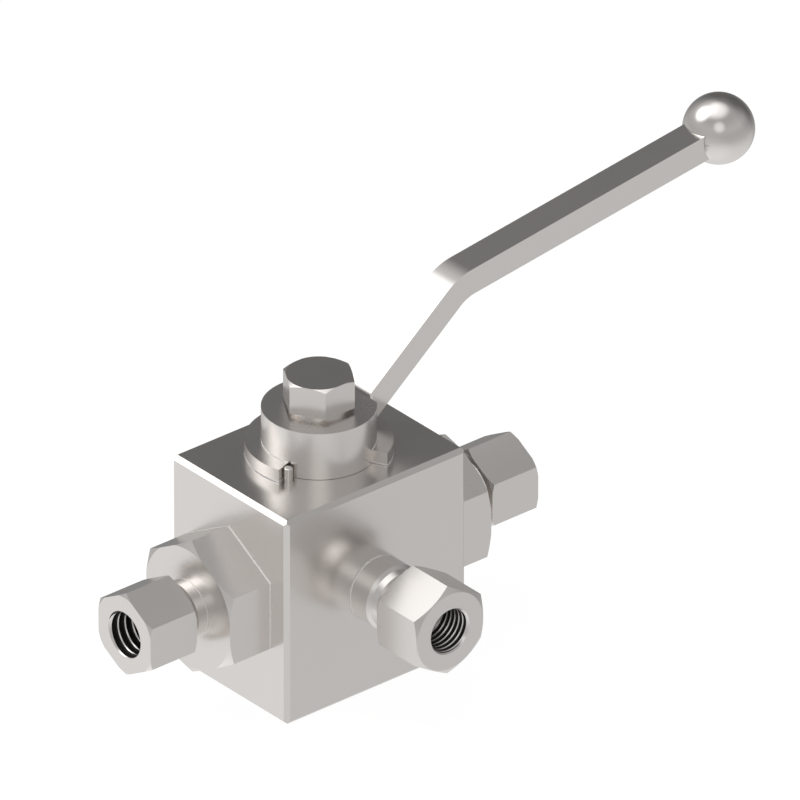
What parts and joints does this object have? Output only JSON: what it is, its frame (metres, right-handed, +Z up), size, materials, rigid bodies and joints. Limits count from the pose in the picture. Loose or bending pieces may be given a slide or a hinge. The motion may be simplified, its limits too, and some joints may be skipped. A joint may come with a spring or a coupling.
{
  "type": "three-way ball valve",
  "caption": "Block-body three-way ball valve with threaded side and front ports, an L-bored ball and a cranked hand lever with a ball knob.",
  "frame": {"origin": "centre of the block's base, on the stem axis", "axes": "+X along the through ports towards the right port, which the lever points to at rest; -Y out of the front port; +Z up the stem"},
  "size_m": [0.2802, 0.1012, 0.1557],
  "materials": {
    "block_steel": "satin-polished stainless steel",
    "turned_steel": "turned stainless steel, smooth",
    "nut_steel": "milled and polished stainless steel",
    "lever_steel": "polished stainless steel",
    "ball_steel": "ground and polished stainless steel",
    "seat_polymer": "filled PTFE, off-white",
    "seal_rubber": "black nitrile rubber"
  },
  "bodies": {
    "valve": {"valve_block": "block_steel", "left_adapter": "turned_steel", "right_adapter": "turned_steel", "front_adapter": "turned_steel", "left_port_nut": "nut_steel", "right_port_nut": "nut_steel", "front_port_nut": "nut_steel", "left_seat": "seat_polymer", "right_seat": "seat_polymer", "front_seat": "seat_polymer", "left_seat_oring": "seal_rubber", "right_seat_oring": "seal_rubber", "front_seat_oring": "seal_rubber", "left_adapter_oring": "seal_rubber", "right_adapter_oring": "seal_rubber", "front_adapter_oring": "seal_rubber", "stop_pin": "turned_steel", "thrust_washer": "seat_polymer"},
    "lever": {"stem": "turned_steel", "stem_lower_oring": "seal_rubber", "stem_upper_oring": "seal_rubber", "stem_backup_ring": "seat_polymer", "stop_disc": "turned_steel", "lever_hub": "lever_steel", "lever_bar": "lever_steel", "ball_knob": "lever_steel", "cap_washer": "turned_steel", "cap_nut": "nut_steel"},
    "ball": {"ball": "ball_steel"}
  },
  "joints": [
    {"name": "lever_turn", "type": "hinge", "parent": "valve", "child": "lever", "pos_m": [0, 0, 0.081], "axis": [0, 0, 1], "range_deg": [-90, 0]},
    {"name": "ball_turn", "type": "hinge", "parent": "valve", "child": "ball", "pos_m": [0, 0, 0.0405], "axis": [0, 0, 1], "range_deg": [-90, 0]}
  ],
  "couplings": [
    {"joint": "ball_turn", "follows": "lever_turn", "ratio": 1}
  ]
}
